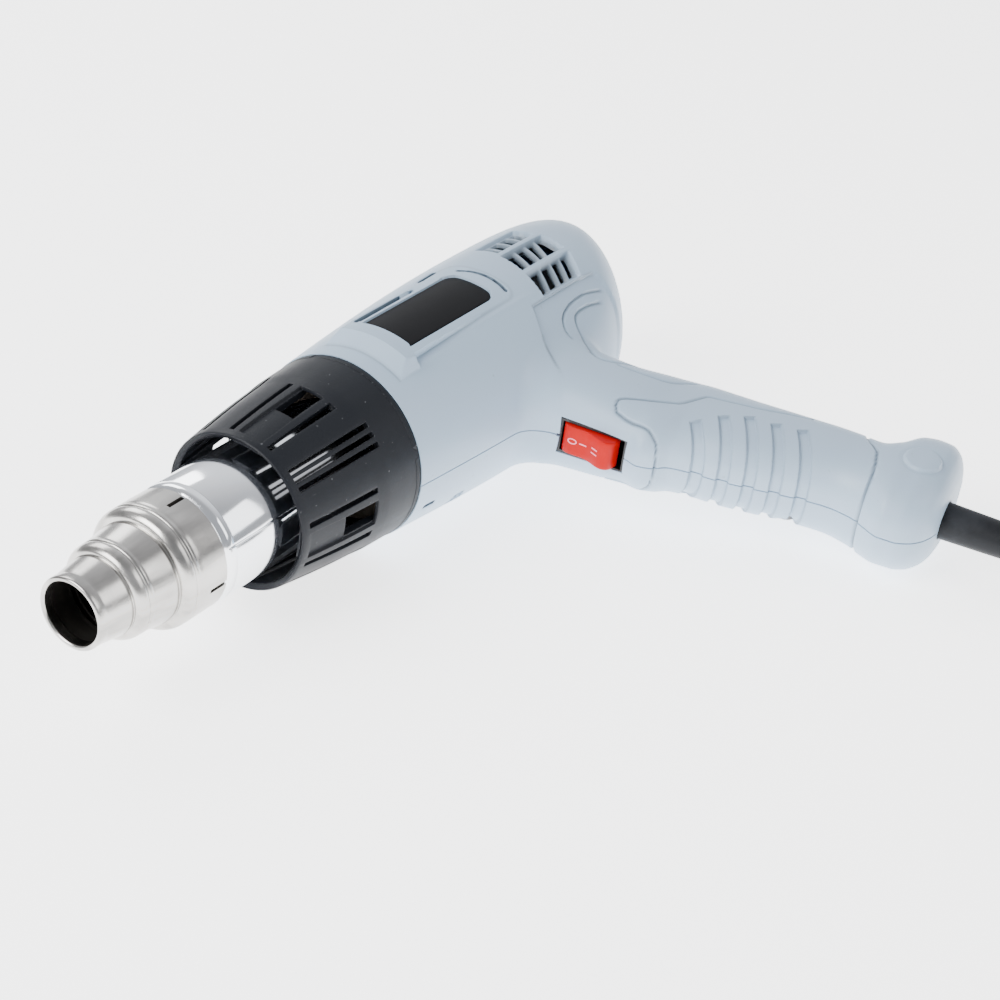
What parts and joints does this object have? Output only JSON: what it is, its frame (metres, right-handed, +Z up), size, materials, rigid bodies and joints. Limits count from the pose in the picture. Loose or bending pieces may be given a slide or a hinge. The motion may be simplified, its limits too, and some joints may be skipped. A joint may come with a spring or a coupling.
{
  "type": "hot-air tool with reducer nozzle",
  "caption": "Pistol-grip hot-air tool lying on its side, with a stepped reducer nozzle, slotted heat guard, rocker switch and mains lead.",
  "frame": {"origin": "centre of the air outlet, in the plane of the nozzle's front lip", "axes": "+X from the outlet along the barrel to the housing's rear end, +Z up from the floor the tool lies on, handle towards -Y and rolled down by 6.3 degrees so that its butt rests on the floor"},
  "size_m": [0.2495, 0.3744, 0.064],
  "materials": {
    "nozzle_steel": "satin nickel, worn lighter at the edges",
    "tube_chrome": "bright, with faint marks of heat and handling",
    "guard_black": "matt glass-filled plastic with worn edges",
    "ring_tan": "matt heat-proof moulding",
    "mica_tan": "layered mica sheet",
    "heating_wire": "oxidised resistance wire",
    "ceramic_white": "glazed ceramic",
    "sensor_metal": "drawn metal can",
    "guide_grey": "moulded plastic",
    "fan_black": "moulded plastic",
    "shaft_steel": "ground steel",
    "core_iron": "stacked iron with varnished copper",
    "commutator_copper": "turned copper",
    "can_steel": "zinc-plated sheet steel",
    "magnet_dark": "sintered ferrite",
    "bush_bronze": "sintered bronze",
    "cap_black": "moulded plastic",
    "carbon": "pressed carbon",
    "board_green": "laminate with lacquer",
    "housing_grey": "satin moulded plastic, cool grey",
    "plate_black": "satin plate",
    "screw_steel": "dark phosphated steel",
    "switch_black": "moulded plastic",
    "rocker_red": "glossy red moulding",
    "blade_brass": "stamped brass",
    "lead_brown": "insulated wire",
    "capacitor_yellow": "filled plastic box",
    "clamp_white": "moulded plastic",
    "screw_bright": "zinc-plated steel",
    "cord_black": "smooth black rubber sheath",
    "relief_black": "matt black rubber",
    "plug_black": "matt moulded plug",
    "pin_nickel": "nickel-plated brass"
  },
  "bodies": {
    "tool": {"air_tube": "tube_chrome", "heat_guard": "guard_black", "tube_ring": "ring_tan", "heater_former": "mica_tan", "heater_coil": "heating_wire", "heater_sleeve": "mica_tan", "heater_disc": "ceramic_white", "thermal_cutout": "sensor_metal", "air_guide": "guide_grey", "motor_can": "can_steel", "motor_magnets": "magnet_dark", "motor_bushes": "bush_bronze", "motor_end_cap": "cap_black", "motor_brushes": "carbon", "motor_mount": "guide_grey", "rectifier_board": "board_green", "housing_left": "housing_grey", "housing_right": "housing_grey", "badge_plate": "plate_black", "housing_screws": "screw_steel", "switch_body": "switch_black", "switch_terminals": "blade_brass", "inner_leads": "lead_brown", "suppressor_capacitor": "capacitor_yellow", "cord_clamp": "clamp_white", "clamp_screws": "screw_bright", "cord_inside": "cord_black", "strain_relief": "relief_black", "mains_cord": "cord_black", "cord_coil": "cord_black", "cord_tail": "cord_black", "plug_body": "plug_black", "plug_pins": "pin_nickel"},
    "reducer": {"reducer_nozzle": "nozzle_steel"},
    "rotor": {"fan_impeller": "fan_black", "motor_shaft": "shaft_steel", "armature": "core_iron", "commutator": "commutator_copper"},
    "rocker": {"switch_rocker": "rocker_red"}
  },
  "joints": [
    {"name": "reducer_pull", "type": "slide", "parent": "tool", "child": "reducer", "axis": [-1, 0, 0], "range_m": [0, 0.02]},
    {"name": "rotor_spin", "type": "hinge", "parent": "tool", "child": "rotor", "pos_m": [0.16, 0, 0], "axis": [1, 0, 0], "continuous": true},
    {"name": "rocker_press", "type": "hinge", "parent": "tool", "child": "rocker", "pos_m": [0.16804, -0.0494, -0.00542], "axis": [0, -0.109, 0.994], "range_deg": [0, 24]}
  ]
}
